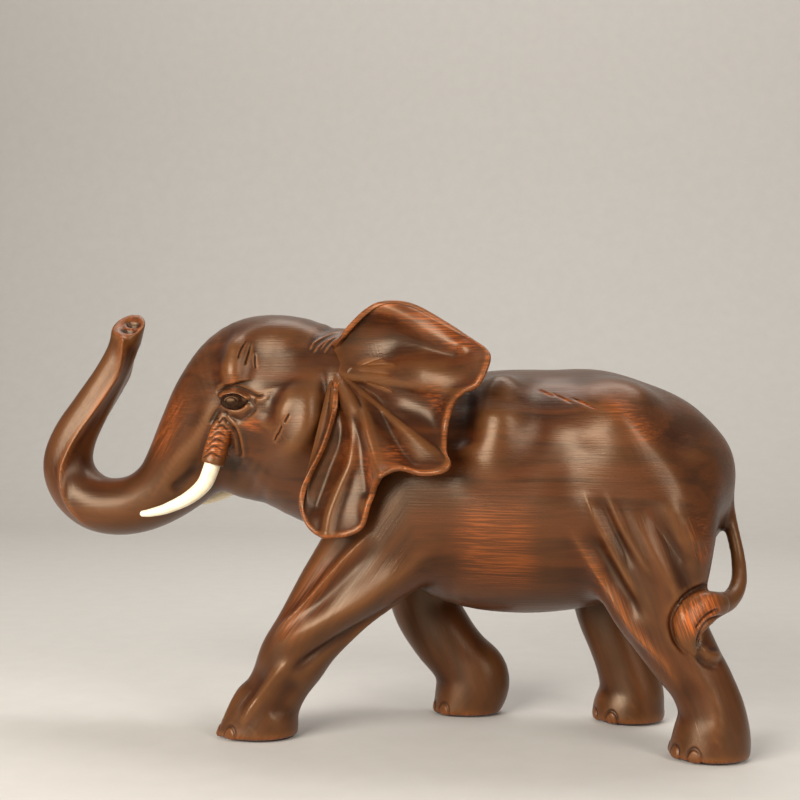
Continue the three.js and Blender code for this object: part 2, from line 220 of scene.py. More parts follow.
class Skin:
    def __init__(self, vertices, triangles):
        self.vertices = vertices
        self.triangles = triangles
        self.marks = {"wear": np.zeros(len(vertices))}
        a, b, c = (vertices[triangles[:, k]] for k in range(3))
        if np.einsum("ij,ij->i", a, np.cross(b, c)).sum() < 0:
            self.triangles = triangles[:, ::-1].copy()
        self.rest()

    def rest(self):
        """Takes the surface as it now is as the one that strokes work from."""
        a, b, c = (self.vertices[self.triangles[:, k]] for k in range(3))
        normals = self.gather(np.cross(b - a, c - a))
        self.normals = normals / np.maximum(np.linalg.norm(normals, axis=1), 1e-12)[:, None]
        self.offset = np.zeros(len(self.vertices))

    def gather(self, values):
        """Sums each triangle's values at its three corners."""
        count = len(self.vertices)
        columns = [
            sum(np.bincount(self.triangles[:, k], column, count) for k in range(3)) for column in values.T
        ]
        return np.stack(columns, axis=1)

    def neighbour_mean(self, values):
        corners = values[self.triangles]
        others = corners.sum(1)[:, None] - corners
        count = len(self.vertices)
        total = np.zeros_like(values)
        for column in range(values.shape[1]):
            for k in range(3):
                total[:, column] += np.bincount(self.triangles[:, k], others[:, k, column], count)
        uses = np.bincount(self.triangles.ravel(), minlength=count)
        return total / (2 * np.maximum(uses, 1))[:, None]

    def smooth(self, times):
        """Evens out the ripples that the field's tubes leave."""
        for _ in range(times):
            self.vertices = self.vertices + 0.7 * (self.neighbour_mean(self.vertices) - self.vertices)
        self.rest()

    def near(self, path, margin, side=BOTH):
        """Which vertices are within a margin of the side-view box round a path."""
        path = np.asarray(path, float)
        place = self.vertices[:, [0, 2]]
        inside = ((place > path.min(0) - margin) & (place < path.max(0) + margin)).all(1)
        return inside & (self.vertices[:, 1] * side > 0) if side else inside

    def refine(self, chosen):
        """Splits each triangle edge whose two ends are both chosen."""
        count = len(self.vertices)
        tri = self.triangles
        ends = np.stack([tri, np.roll(tri, -1, axis=1)], axis=2)
        split = chosen[ends].all(2)
        keys = ends.min(2) * count + ends.max(2)
        unique, places = np.unique(keys[split], return_inverse=True)
        first, second = unique // count, unique % count
        middle = np.full(tri.shape, -1)
        middle[split] = count + places
        self.vertices = np.vstack([self.vertices, (self.vertices[first] + self.vertices[second]) / 2])
        for name, values in self.marks.items():
            self.marks[name] = np.concatenate([values, (values[first] + values[second]) / 2])
        full = split.all(1)
        a, b, c = tri[full].T
        ab, bc, ca = middle[full].T
        parts = [
            tri[~split.any(1)],
            np.stack([a, ab, ca], 1),
            np.stack([ab, b, bc], 1),
            np.stack([ca, bc, c], 1),
            np.stack([ab, bc, ca], 1),
        ]
        for k in range(3):
            one = split[:, k] & (split.sum(1) == 1)
            a, b, c = (tri[one, (k + n) % 3] for n in range(3))
            m = middle[one, k]
            parts += [np.stack([a, m, c], 1), np.stack([m, b, c], 1)]
        self.triangles = np.vstack(parts)
        self.rest()

    def stroke(self, path, width, height, side=BOTH, other=None, power=2.0, fade=(0.3, 0.3), wear=0.0):
        """Raises (or, with a negative height, cuts) the skin along a path of side-view (x, z) points.

        A high power leaves a round ridge and a low one a sharp crest. The width may differ on the path's
        right-hand side (other). Fade is the share of the path over which each end dies away."""
        found = np.nonzero(self.near(path, 3.2 * max(width, other or 0), side))[0]
        amount = stroke_shape(self.vertices[found][:, [0, 2]], path, width, other, power, fade)
        facing = self.normals[found, 1] * np.sign(self.vertices[found, 1])
        amount *= smoothstep(0.02, 0.4, facing)
        self.offset[found] += height * amount
        if wear:
            self.marks["wear"][found] = np.maximum(self.marks["wear"][found], wear * amount)

    def paint(self, path, width, wear, side=BOTH):
        """Rubs the stain through along a path, down to the orange wood."""
        self.stroke(path, width, 0, side, wear=wear)

    def press(self):
        """Moves the skin by all the strokes made since it last rested."""
        self.vertices = self.vertices + self.offset[:, None] * self.normals
        self.rest()

    def curvature(self, times):
        """How sharply the surface bends outwards at each point: below zero in hollows."""
        mean = self.vertices
        for _ in range(times):
            mean = self.neighbour_mean(mean)
        a, b, c = (self.vertices[self.triangles[:, k]] for k in range(3))
        area = self.gather(np.linalg.norm(np.cross(b - a, c - a), axis=1)[:, None]).ravel()
        uses = np.bincount(self.triangles.ravel(), minlength=len(self.vertices))
        spacing = area / np.maximum(uses, 1)
        return ((self.vertices - mean) * self.normals).sum(1) / (times * np.maximum(spacing, 1e-3))

    def blurred(self, values, times):
        values = values[:, None]
        for _ in range(times):
            values = self.neighbour_mean(values)
        return values[:, 0]

    def mark_form(self):
        """Marks edges (ridge) and broad swells (form), both below zero in hollows."""
        self.marks["ridge"] = self.blurred(self.curvature(3), 2)
        self.marks["form"] = self.blurred(self.curvature(14), 4)

    def to_object(self, name):
        mesh = bpy.data.meshes.new(name)
        mesh.vertices.add(len(self.vertices))
        mesh.vertices.foreach_set("co", (self.vertices * MM).astype(np.float32).ravel())
        mesh.loops.add(self.triangles.size)
        mesh.loops.foreach_set("vertex_index", self.triangles.astype(np.int32).ravel())
        mesh.polygons.add(len(self.triangles))
        mesh.polygons.foreach_set("loop_start", np.arange(0, self.triangles.size, 3, dtype=np.int32))
        mesh.update(calc_edges=True)
        mesh.shade_smooth()
        for key, values in self.marks.items():
            attribute = mesh.attributes.new(key, "FLOAT", "POINT")
            attribute.data.foreach_set("value", values.astype(np.float32))
        piece = bpy.data.objects.new(name, mesh)
        bpy.context.scene.collection.objects.link(piece)
        return piece


def ring_mesh(rings):
    """Vertices and triangles of a tube whose rings are rows of points, closed by a fan at each end."""
    count, size = rings.shape[:2]
    index = np.arange(count * size).reshape(count, size)
    a, b = index[:-1], index[1:]
    a2, b2 = np.roll(a, -1, axis=1), np.roll(b, -1, axis=1)
    walls = [np.stack([a, b, b2], -1).reshape(-1, 3), np.stack([a, b2, a2], -1).reshape(-1, 3)]
    centres = [rings[0].mean(0), rings[-1].mean(0)]
    first, last = index[0], index[-1]
    start = np.stack([np.full(size, count * size), first, np.roll(first, -1)], 1)
    end = np.stack([np.full(size, count * size + 1), np.roll(last, -1), last], 1)
    vertices = np.vstack([rings.reshape(-1, 3), centres])
    return vertices, np.vstack(walls + [start, end])


def horn(stations, per_span=10, sides=40):
    """A round tapering skin along stations of [x, y, z, radius], with a rounded tip."""
    rows = spline(stations, per_span)
    along = np.gradient(rows[:, :3], axis=0)
    along /= np.linalg.norm(along, axis=1)[:, None]
    across = np.cross(along, [0.0, 1.0, 0.0])
    across /= np.linalg.norm(across, axis=1)[:, None]
    up = np.cross(along, across)
    angles = np.linspace(0, 2 * np.pi, sides, endpoint=False)
    around = np.cos(angles)[None, :, None] * across[:, None] + np.sin(angles)[None, :, None] * up[:, None]
    tube = rows[:, None, :3] + around * rows[:, 3, None, None]
    tip = []
    for bend in np.linspace(0, np.pi / 2, 7)[1:-1]:
        centre = rows[-1, :3] + along[-1] * rows[-1, 3] * np.sin(bend)
        tip.append(centre + around[-1] * rows[-1, 3] * np.cos(bend))
    return Skin(*ring_mesh(np.concatenate([tube, np.stack(tip)])))


# ---- The forms of the carving, in millimetres ----

TORSO = [
    [-12, 0, 146, 47, 34], [8, 0, 139, 48, 40], [30, 0, 127, 53, 45], [50, 0, 119, 58, 49],
    [70, 0, 118, 59.5, 52], [90, 0, 119, 58.5, 52], [108, 0, 122, 56, 49.5], [125, 0, 123, 49, 45],
    [140, 0, 122, 42, 39], [150, 0, 121, 34, 31], [156, 0, 119, 24, 21],
]
LEFT_FORELEG = [
    [22, -31, 124, 30, 17], [8, -34, 94, 27, 17], [-12, -35, 70, 21, 15.5], [-27, -35, 50, 17.2, 14.6],
    [-35, -34.5, 38, 16.6, 14.6], [-41, -34, 27, 14.6, 13.6], [-46, -33, 18, 15, 14.2],
    [-51, -33, 9, 18.5, 16.5], [-54, -33, -3, 21, 18],
]
RIGHT_FORELEG = [
    [24, 31, 108, 27, 17], [17, 34, 78, 21, 15.5], [18, 34, 56, 18, 14.5], [27, 33, 40, 17, 14],
    [36, 33, 29, 16.5, 13.5], [43, 33, 19, 19, 14], [41, 33, 9, 18, 14.6], [35.5, 33, -3, 14, 15],
]
LEFT_HIND_LEG = [
    [128, -21, 120, 35, 22], [134, -31, 100, 30, 20], [136, -34, 76, 24, 17], [142, -34, 59, 18.4, 15.5],
    [150, -34, 45, 16, 14.4], [157, -33, 34, 14.6, 13.6], [162, -33, 21, 15, 14.4],
    [162, -33, 10, 17.4, 16.2], [160, -33, -3, 18.6, 17.5],
]
RIGHT_HIND_LEG = [
    [124, 21, 120, 33, 22], [115, 31, 96, 26, 20], [111, 34, 72, 19, 16.5], [112, 34, 54, 15.5, 15],
    [116, 33, 41, 14, 14], [121, 33, 28, 14.5, 14], [124.5, 33, 14.5, 16, 15], [123, 33, 6, 18, 16.5],
    [122.5, 33, -3, 18.5, 17],
]
LEGS = (LEFT_FORELEG, RIGHT_FORELEG, LEFT_HIND_LEG, RIGHT_HIND_LEG)
TAIL = [
    [157, 0, 131, 8, 9], [167, 0, 118, 5, 5.5], [172, -2, 102, 3.5, 3.7], [175, -7, 87, 3.5, 3.6],
    [174.5, -16, 77, 4, 4], [170, -26, 71, 4.6, 4.2], [163, -36, 70, 6.4, 4.2],
]
TAIL_TUFT = [
    [166, -37, 70.5, 5.2, 4.4], [158.5, -45, 70, 7.8, 5], [152.5, -50, 65, 7.6, 4.6],
    [151, -52, 57, 4.8, 3.2], [154, -52, 50, 1.4, 1.4],
]
HEAD_AND_TRUNK = [
    [-130.6, -1, 212, 8.8, 9.4], [-132.2, -1, 203, 8.5, 9.2], [-135.4, 0, 190, 7.8, 8.5],
    [-142.4, 0, 176, 8.3, 9], [-153, 0, 159, 9.8, 10.5], [-162.5, 0, 143, 11.5, 12.5],
    [-166, 0, 129, 12.9, 14], [-161.5, 0, 117, 13.6, 15], [-151, 0, 109, 14.3, 16], [-138, 0, 107, 14.8, 17], [-124, 0, 110, 15.5, 18],
    [-111, 0, 118, 17.5, 19.5], [-100, 0, 130, 21.5, 22], [-89, 0, 144, 26.5, 25.5], [-77, 0, 155, 34, 29],
    [-63, 0, 162, 42, 33.5], [-48, 0, 162, 43, 36], [-32, 0, 152, 49, 36], [-12, 0, 146, 50, 35.5],
    [10, 0, 140, 48, 39],
]
SEAM_POINT = (12, 0, 201)  # a point on the neck seam, and its normal towards the head
SEAM_NORMAL = (-110, 0, 46)
SEAM_OVERLAP = 2.5  # the head's surface runs this far over the body's, so the glued seam doesn't show
SOLE_HEIGHT = 1.1
TRUNK_END = (-131.4, -1, 201.2)
TRUNK_END_NORMAL = np.array([0.1, -0.6, 0.79])
TRUNK_END_NORMAL /= np.linalg.norm(TRUNK_END_NORMAL)
# The first reach is how far the trunk's end is cut away; the second is how far the painted highlight on its
# end reaches.
TRUNK_CUT_REACH, TRUNK_HIGHLIGHT_REACH = 18, 12  # from the trunk's end
SHEATH = [[-70, 28, 155, 3.2, 3.4], [-72.8, 30.5, 143.5, 5.2, 5.4], [-76, 32.5, 131.5, 5.8, 6]]
EYE = (-64, 33.0, 162)
EYE_RADII = (7.4, 4.6, 4.6)
EYE_LOOKS_AHEAD = 1.2
RING_DEPTH, RING_RADIUS, RING_WIDTH = 0.025, 0.42, 0.045  # shares of the eye's radii


def both_sides(clay, centre, radii, blend, cut=False):
    for side in (LEFT, RIGHT):
        clay.lump((centre[0], side * centre[1], centre[2]), radii, blend, cut)


def model_torso(clay):
    clay.limb(TORSO, 2, roundness=0.75)
    both_sides(clay, (66, 33, 144), (13, 16, 30), 14)
    both_sides(clay, (119, 29, 137), (25, 21, 34), 14)


def model_legs(clay):
    for leg in LEGS:
        clay.limb(leg, 13)


def model_tail(clay):
    clay.limb(TAIL, 3)
    clay.limb(TAIL_TUFT, 0.8)


def model_head(clay):
    clay.limb(HEAD_AND_TRUNK, 10)
    clay.lump((-66, 0, 125), (17, 16, 13), 8)
    both_sides(clay, (-33, 23, 152), (18, 19.5, 25), 9)
    both_sides(clay, (-64.5, 26.5, 179), (7, 10.5, 14), 7)
    both_sides(clay, (-47, 14, 192), (17, 12, 9), 10)
    both_sides(clay, (-41, 43, 181), (11, 8, 13), 9, cut=True)
    both_sides(clay, (EYE[0], 39.5, EYE[2]), (10, 5.5, 6.5), 4, cut=True)
    for side in (LEFT, RIGHT):
        sheath = [[x, side * y, z, depth, width] for x, y, z, depth, width in SHEATH]
        clay.limb(sheath, 1.8, roundness=0.35)
        clay.lump((-76.4, side * 32.7, 130), (4.9, 4.9, 3.2), 0.7, cut=True)


def model_trunk_end(clay):
    """Cuts the trunk's end off flat, then hollows it round two nostrils."""
    clay.keep_behind(TRUNK_END, TRUNK_END_NORMAL, 1.2, TRUNK_CUT_REACH)
    normal = TRUNK_END_NORMAL
    level = np.cross([0, 1, 0], normal)
    level /= np.linalg.norm(level)
    axes = np.stack([level, np.cross(normal, level), normal])
    end = np.array(TRUNK_END) + 0.4 * level - 0.6 * axes[1]
    clay.lump(end + 0.5 * normal, (6.1, 7.4, 2.2), 0.6, cut=True, axes=axes)
    for side in (LEFT, RIGHT):
        nostril = end - 1.2 * normal + side * 2.8 * axes[1]
        clay.lump(nostril, (3.9, 1.5, 3.0), 0.6, cut=True, axes=axes)


def carve_body():
    clay = Clay((-85, -66, -2), (184, 66, 192), BODY_STEP)
    model_torso(clay)
    model_legs(clay)
    clay.limb(HEAD_AND_TRUNK[-5:], 10)
    model_tail(clay)
    clay.keep_behind((0, 0, SOLE_HEIGHT), (0, 0, -1), 0.8)
    clay.keep_behind(SEAM_POINT, SEAM_NORMAL)
    return clay.skin()


def carve_head():
    clay = Clay((-184, -52, 84), (20, 52, 214), HEAD_STEP)
    model_torso(clay)
    model_legs(clay)
    model_head(clay)
    model_trunk_end(clay)
    past_seam = (SEAM_POINT[0] + SEAM_OVERLAP, 0, SEAM_POINT[2])
    clay.keep_behind(past_seam, [-n for n in SEAM_NORMAL])
    return clay.skin()


# ---- Strokes on the body ----

TUFT_OUTLINE = [
    [(167, 77), (158, 79), (149, 75), (143.5, 66), (145, 56), (151, 48)],
    [(168, 65), (161, 65.5), (156.5, 60), (155, 52)],
    [(165, 70), (159, 67.5), (154, 62)],
]
NAIL_MIDDLE, NAIL_HALF_HEIGHT, NAIL_HALF_WIDTH = 2.6, 4.4, 3.1
FEET = (  # the middle of each sole, its radii, and the turns of its nails in degrees from straight ahead
    ((-53, -33), (20, 17.5), (-50, -12, 26, 62)),
    ((36, 33), (15.5, 15), (-62, -20, 22, 64)),
    ((161, -33), (18.4, 17.2), (-55, -12, 30, 66)),
    ((122.5, 33), (18.3, 17), (-62, -20, 22, 64)),
)
BACK_SCRATCHES = [[(82, 168), (91, 164)], [(89, 166), (100, 161)], [(98, 164), (112, 158)]]


def work_body(skin):
    """The shoulder blade, the hips, and the folds of skin that run down into the legs."""
    skin.stroke([(69, 164), (66, 152), (61, 137), (55, 118)], 11, 2.8)
    skin.stroke([(49, 172), (49, 153), (52, 138)], 7, -3.0)
    haunch = [(100, 167), (114, 159), (127, 147), (139, 134), (149, 115), (154, 96)]
    skin.stroke(haunch, 7, 2.4, other=18)
    skin.stroke([(128, 167), (142, 153), (152, 134)], 8, -0.9)
    skin.stroke([(105, 150), (101, 132), (97, 110)], 10, -1.5)
    skin.press()
    left = functools.partial(skin.stroke, side=LEFT)
    fold_under_flank = [(96, 108), (107, 91), (118, 74), (127, 60), (140, 46), (150, 30)]
    left(fold_under_flank, 2.4, 2.6, power=1.2, wear=0.45)
    left([(104, 106), (113, 92), (124, 74), (132, 62)], 3.6, -2.6)
    left([(104, 124), (111, 108), (122, 87), (130, 72)], 2.0, 1.9, power=1.3)
    left([(111, 122), (119, 104), (128, 86)], 2.2, -1.4)
    left([(114, 124), (121, 108), (130, 92), (138, 80)], 2.2, 1.3)
    left([(122, 118), (134, 98), (143, 82), (150, 66), (156, 52)], 5, 2.0, power=1.6)
    left([(129, 122), (140, 104), (149, 86), (154, 74)], 4, -1.5)
    left([(140, 122), (149, 106), (156, 93)], 5, 1.4)
    left([(136, 110), (145, 98), (153, 88)], 2.2, -1.0)
    foreleg_crest = [(9, 103), (-2, 92), (-14, 79), (-26, 66), (-35, 56), (-43, 47)]
    left(foreleg_crest, 1.8, 3.0, power=1.1, wear=0.3)
    left([(2, 104), (-14, 86), (-28, 68), (-38, 56)], 4, -1.6)
    left([(13, 98), (-2, 84), (-16, 70), (-28, 60)], 4, -2.0)
    left([(40, 98), (22, 84), (4, 70), (-14, 60), (-32, 50), (-46, 44)], 5.5, 3.4, power=1.8)
    left([(34, 76), (14, 62), (-8, 50), (-24, 40), (-34, 33)], 3.2, -3.2, power=1.4)
    left([(-30, 42), (-38, 34), (-46, 24), (-52, 16), (-57, 6)], 2.6, 2.4, power=1.3)
    left([(-44, 38), (-51, 24), (-60, 12)], 4, -0.9)
    left([(-28, 32), (-36, 20), (-40, 10)], 4.5, -1.5)
    left([(156, 54), (160, 49), (167, 47)], 1.8, 1.4)
    left([(154, 50), (159, 45), (166, 43)], 1.4, -1.0)
    left([(150, 46), (160, 34), (164, 20), (160, 10)], 4, 1.2)
    skin.press()
    for path in TUFT_OUTLINE + BACK_SCRATCHES:
        skin.refine(skin.near(path, 1.5, LEFT))
    for path in TUFT_OUTLINE:
        left(path, 0.9, -1.3, power=1.6, fade=(0.2, 0.2))
    for path in BACK_SCRATCHES:
        left(path, 0.45, -0.4, wear=1.0)


def work_far_legs(skin):
    right = functools.partial(skin.stroke, side=RIGHT)
    right([(96, 108), (99, 92), (101, 76), (104, 60)], 2.6, 2.0, power=1.3, wear=0.4)
    right([(103, 108), (107, 92), (110, 76)], 3.2, -1.8)
    right([(110, 122), (115, 104), (118, 84), (118, 66)], 4, 1.6)
    right([(30, 100), (22, 80), (20, 62), (28, 44)], 5, 1.6)
    right([(20, 100), (10, 82), (10, 62)], 4, -1.4)


def place_round_foot(skin, foot, radii):
    """Each vertex's place from a sole's middle, and whether it belongs to that foot."""
    x, y, z = (skin.vertices - (foot[0], foot[1], 0)).T
    return x, y, z, (np.abs(x) < radii[0] + 6) & (np.abs(y) < radii[1] + 6) & (z < 12)


def carve_nails(skin, foot, radii, turns):
    """Toenails round the front of a foot: raised ovals with a cut line round each."""
    x, _, _, at_foot = place_round_foot(skin, foot, radii)
    skin.refine(at_foot & (x < 4))
    x, y, z, at_foot = place_round_foot(skin, foot, radii)
    turn = np.degrees(np.arctan2(-y / radii[1], -x / radii[0]))
    for middle in turns:
        aside = np.radians(turn - middle) * np.mean(radii) / NAIL_HALF_WIDTH
        out = np.sqrt(aside**2 + ((z - NAIL_MIDDLE) / NAIL_HALF_HEIGHT) ** 2)
        nail = np.where(at_foot, 1 - smoothstep(0.7, 1.0, out), 0)
        line = np.where(at_foot, np.exp(-(((out - 1.1) / 0.14) ** 2)), 0)
        skin.offset += 0.45 * nail - 0.35 * line
        skin.marks["wear"] = np.maximum(skin.marks["wear"], 0.15 * nail)
    skin.press()


def wear_body(skin):
    """Where handling has rubbed the dark stain back to orange."""
    skin.paint([(42, 110), (64, 104), (88, 103)], 13, 0.34)
    skin.paint([(44, 94), (66, 88), (88, 86)], 11, 0.32)
    skin.paint([(112, 167), (126, 154), (139, 140)], 4.5, 0.4)
    skin.paint([(-6, 96), (-26, 66), (-38, 44)], 6, 0.3)
    skin.paint([(150, 116), (158, 96), (156, 88)], 5, 0.25)
    skin.paint([(168, 71), (159, 70.5), (152, 66), (152, 55)], 5.5, 1.2, LEFT)
    low = smoothstep(4.5, 1.2, skin.vertices[:, 2])
    skin.marks["wear"] = np.maximum(skin.marks["wear"], 0.35 * low)


# ---- Strokes on the head ----

BROW = [(-66, 186), (-65.5, 178), (-64, 170)]
UPPER_LID = [(-73, 163.6), (-69.5, 165.6), (-64.5, 166.2), (-60, 165), (-55.6, 162.4)]
UPPER_CREASE = [(-75, 166), (-70, 168), (-63.5, 168.6), (-57.5, 166.8), (-52, 164.6), (-47.5, 165.6)]
LOWER_LID = [(-71.5, 162), (-69, 158.8), (-64, 157), (-59.4, 158), (-55.8, 161.4)]
LOWER_CREASE = [(-71, 158.4), (-67.4, 154.4), (-61, 153), (-55.4, 156.6), (-52, 160.4)]
NAPE = [
    [(-29, 186), (-27, 190.5), (-21.5, 194.6), (-15, 197.4)],
    [(-27, 185), (-24, 189.5), (-19, 193)],
    [(-24.5, 186), (-21, 191), (-16.5, 194.8)],
    [(-22, 185), (-19, 190), (-15, 194.2)],
]
GOUGES = [
    [(-59.7, 192), (-61.1, 187), (-62, 182)], [(-57.3, 191.5), (-57.8, 184.5), (-58.6, 179)],
    [(-54.8, 186), (-54.6, 182), (-53.8, 177.4)], [(-34, 156.5), (-37, 151.5)],
    [(-38, 151), (-41, 145.2)], [(-40.3, 147.5), (-43, 142.5)],
]
SHEATH_RINGS = [
    [(-73, 151.4), (-70.4, 153.6), (-68, 151.2)], [(-75, 148), (-71, 150.4), (-67.4, 147.4)],
    [(-76.6, 144.4), (-72, 146.9), (-67.6, 144.2)], [(-77.8, 141), (-72.8, 143.6), (-68, 141)],
    [(-79, 137.5), (-73.8, 140.2), (-68.8, 137.4)], [(-80.2, 134.2), (-75, 136.8), (-69.8, 134.2)],
]
TRUNK_CREST = [
    (-131.6, 195.5), (-132.6, 191), (-134.5, 182), (-138, 173), (-147, 159), (-157, 144), (-162, 133),
    (-163.5, 124), (-161, 112), (-154, 101), (-144, 95),
]


def work_head(skin):
    skin.stroke([(-30, 174), (-26, 162), (-27, 150), (-34, 140), (-45, 136)], 5, 1.5)
    skin.stroke([(-21, 180), (-17.5, 165), (-18, 150), (-24, 137)], 3.4, -2.4)
    skin.stroke([(-38, 172), (-35, 165), (-38, 158), (-44, 153)], 5, 1.1)
    skin.stroke([(-47, 168), (-45, 160), (-50, 150)], 5, -1.6)
    skin.stroke([(-76, 168), (-82, 150), (-92, 137), (-110, 123)], 5, 1.4)
    skin.stroke([(-104, 116), (-95, 122.5), (-84, 131)], 3, -1.5)
    skin.press()
    for side, fade in ((LEFT, 0.05), (RIGHT, 0.3)):
        skin.stroke(TRUNK_CREST, 1.7, 2.6, side, power=1.1, fade=(fade, 0.3), wear=0.35)
    inner = [(x + 6, z + 1) for x, z in TRUNK_CREST]
    skin.stroke(inner[1:-2], 4, -0.9, fade=(0.1, 0.3))
    skin.press()
    work_eye_and_sheath(skin)
    work_cuts(skin)


def work_eye_and_sheath(skin):
    skin.refine(skin.near([(-84, 128), (-46, 174)], 2))
    skin.refine(skin.near([(-80, 130), (-50, 172)], 1))
    skin.stroke(BROW, 5.5, 2.2, fade=(0.7, 0.1), wear=0.15)
    skin.press()
    skin.stroke(UPPER_LID, 1.2, 1.7, power=2, fade=(0.12, 0.12))
    skin.stroke(UPPER_CREASE, 0.8, -1.2, power=1.5, fade=(0.15, 0.3))
    skin.stroke(LOWER_LID, 1.7, 1.3, power=2, fade=(0.15, 0.15))
    skin.stroke(LOWER_CREASE, 1.4, -0.6, power=2, fade=(0.2, 0.3))
    skin.stroke([(-72, 159), (-75.5, 155), (-78, 150)], 1.6, -0.8)
    skin.stroke([(-54, 162.8), (-50, 162.6), (-45, 164.4)], 1.6, 0.6)
    skin.press()
    skin.stroke([(-69.5, 156.4), (-64, 149.5), (-62, 142), (-62, 133)], 1.6, 1.0, fade=(0.1, 0.3))
    skin.stroke([(-66, 151), (-63.8, 143), (-64.4, 134)], 1.2, -1.1, fade=(0.2, 0.2))
    skin.stroke([(-72.5, 153), (-77.6, 146.6), (-80.6, 138.5), (-83.4, 132)], 1.5, 0.9, fade=(0.1, 0.3))
    for ring in SHEATH_RINGS:
        skin.stroke(ring, 0.55, -0.75, power=1.6, fade=(0.1, 0.3))
    skin.paint([(-71, 152), (-73, 143), (-75, 133)], 5.4, 1.0)
    skin.press()


def work_cuts(skin):
    """Wrinkles on the nape, and the short gouge marks on the forehead and cheeks."""
    for margin in (1.6, 0.8):
        skin.refine(np.any([skin.near(cut, margin) for cut in NAPE + GOUGES], axis=0))
    for cut in NAPE:
        skin.stroke(cut, 0.7, 0.6, power=1.6)
    for cut in GOUGES:
        skin.stroke(cut, 0.4, -0.7, power=1.6, fade=(0.4, 0.2))
    skin.press()


# Real wear on the head, and a painted highlight on the trunk's end.
def wear_head(skin):
    skin.paint([(-95, 170), (-104, 150), (-116, 132)], 7, 0.4)
    skin.paint([(-55, 155), (-57, 147)], 5, 0.5)
    skin.paint([(-66, 172), (-62, 171)], 5, 0.5)
    # A painted highlight: the flat face at the trunk's end is lightened towards the orange wood, for the
    # light it would catch. It goes into the same mark as the real wear.
    at_tip = np.linalg.norm(skin.vertices - TRUNK_END, axis=1) < TRUNK_HIGHLIGHT_REACH
    facing = skin.normals @ TRUNK_END_NORMAL
    skin.marks["wear"] = np.maximum(skin.marks["wear"], 0.4 * at_tip * smoothstep(0.75, 0.95, facing))


# ---- Ears ----

# Each spoke of the left ear ends at a point of its rim: x, z, how far out the rim stands, and how far the
# rim curls outwards.
EAR_RIM = [
    [-10, 191, 40, 0], [-4, 197.5, 43, 0.5], [5, 204.5, 47, 0], [14, 208, 50, -2], [26, 206.5, 52, -4],
    [40, 199, 54, -5], [52, 191.5, 55, -4], [61, 185.5, 57, -2], [63, 180, 59, 0], [59, 170, 60, 3],
    [52, 166, 58, 4.5], [47, 161.5, 54, 5], [44, 155, 51, 5], [43, 148, 51, 5], [44, 140, 56, 4],
    [46.5, 134.5, 62, 2], [43, 131, 64, 3], [34, 130, 65, 4], [24, 132, 66, 4], [18, 130, 66, 4],
    [12, 124, 63, 3], [8.5, 116, 60, 2], [5.5, 106, 60, 1], [0, 102, 60, 1], [-8, 100.5, 60, 1],
    [-15, 101, 59, 1], [-21, 105, 57, 1.5], [-24.5, 112, 55, 2], [-24, 120, 54, 2.5], [-20.5, 129, 52, 3],
    [-16.5, 138, 49, 3], [-13.5, 148, 46, 2.4], [-12, 158, 42, 1.4], [-12.4, 166, 39, 0.6],
    [-13.4, 171, 35, 0],
]
EAR_ROOT = (-15.0, 23.0, 175.0)
EAR_ROOT_TOP = (-19.0, 11.0, 187.0)
EAR_PROFILE = 0.65  # below 1: steep near the root, level near the rim
EAR_THIN, EAR_ROOT_SWELL, EAR_RIM_ROLL = 2.1, 4.5, 0.5  # the sheet's thickness, and what its ends add
EAR_STROKES = [  # path, width, height, power
    ([(-8, 186), (8, 192), (22, 192), (36, 187.5), (46, 184)], 9, -6.0, 2.0),
    ([(-6, 194), (1, 201), (8, 204.4), (15, 204), (23, 199.5), (30, 194.5), (38, 190.5), (50, 186.5)],
     4, 2.6, 2.0),
    ([(12, 180), (28, 179), (42, 178), (56, 177)], 12, 4.2, 2.0),
    ([(0, 173), (12, 165), (22, 156), (30, 147), (37, 139.5), (44, 134.5)], 8.5, 4.6, 2.0),
    ([(2, 167), (11, 157), (19, 144), (26, 133)], 4.5, -3.0, 2.0),
    ([(-3, 170), (4, 156), (8, 146), (12.5, 135), (16.5, 129)], 2.8, 4.2, 1.3),
    ([(-5, 167), (1, 149), (6, 135), (8, 121)], 4.6, -4.2, 2.0),
    ([(-8, 171), (-3.5, 158), (-1.6, 143), (-2.4, 133), (-6.4, 122), (-10, 111), (-11, 102)], 3.2, 3.4, 1.5),
    ([(-9, 160), (-9, 144), (-14, 126), (-18, 113)], 4, -2.6, 2.0),
]
EAR_CREASES = [
    [(-0.7, 177.5), (5, 180.2), (11.6, 182)], [(1.2, 177.9), (10.6, 178.6), (21, 178.3)],
    [(-1.6, 175.4), (7.8, 174.8), (18, 173.3)], [(2.2, 172.4), (10.6, 169.6), (19, 166)],
    [(-12.4, 172), (-13, 165), (-12, 156)], [(-10.6, 171), (-10.6, 163), (-10, 154)],
]
EAR_WEAR = [  # path, width, how far the stain is rubbed through
    ([(14, 206.5), (27, 204), (40, 196.5), (52, 190)], 6, 0.55), ([(37, 164), (38, 162)], 6, 0.35),
    ([(20, 137), (21, 135)], 6, 0.4), ([(9, 136), (9, 126)], 4, 0.6), ([(-1, 144), (-2, 134)], 5, 0.2),
]
FAR_EAR_PIVOT = (-12, 33)  # x, y
FAR_EAR_REACH, FAR_EAR_DEPTH = 0.85, 0.707  # its length and stand-out, as shares of the left ear's
FAR_EAR_TURN = math.radians(14)


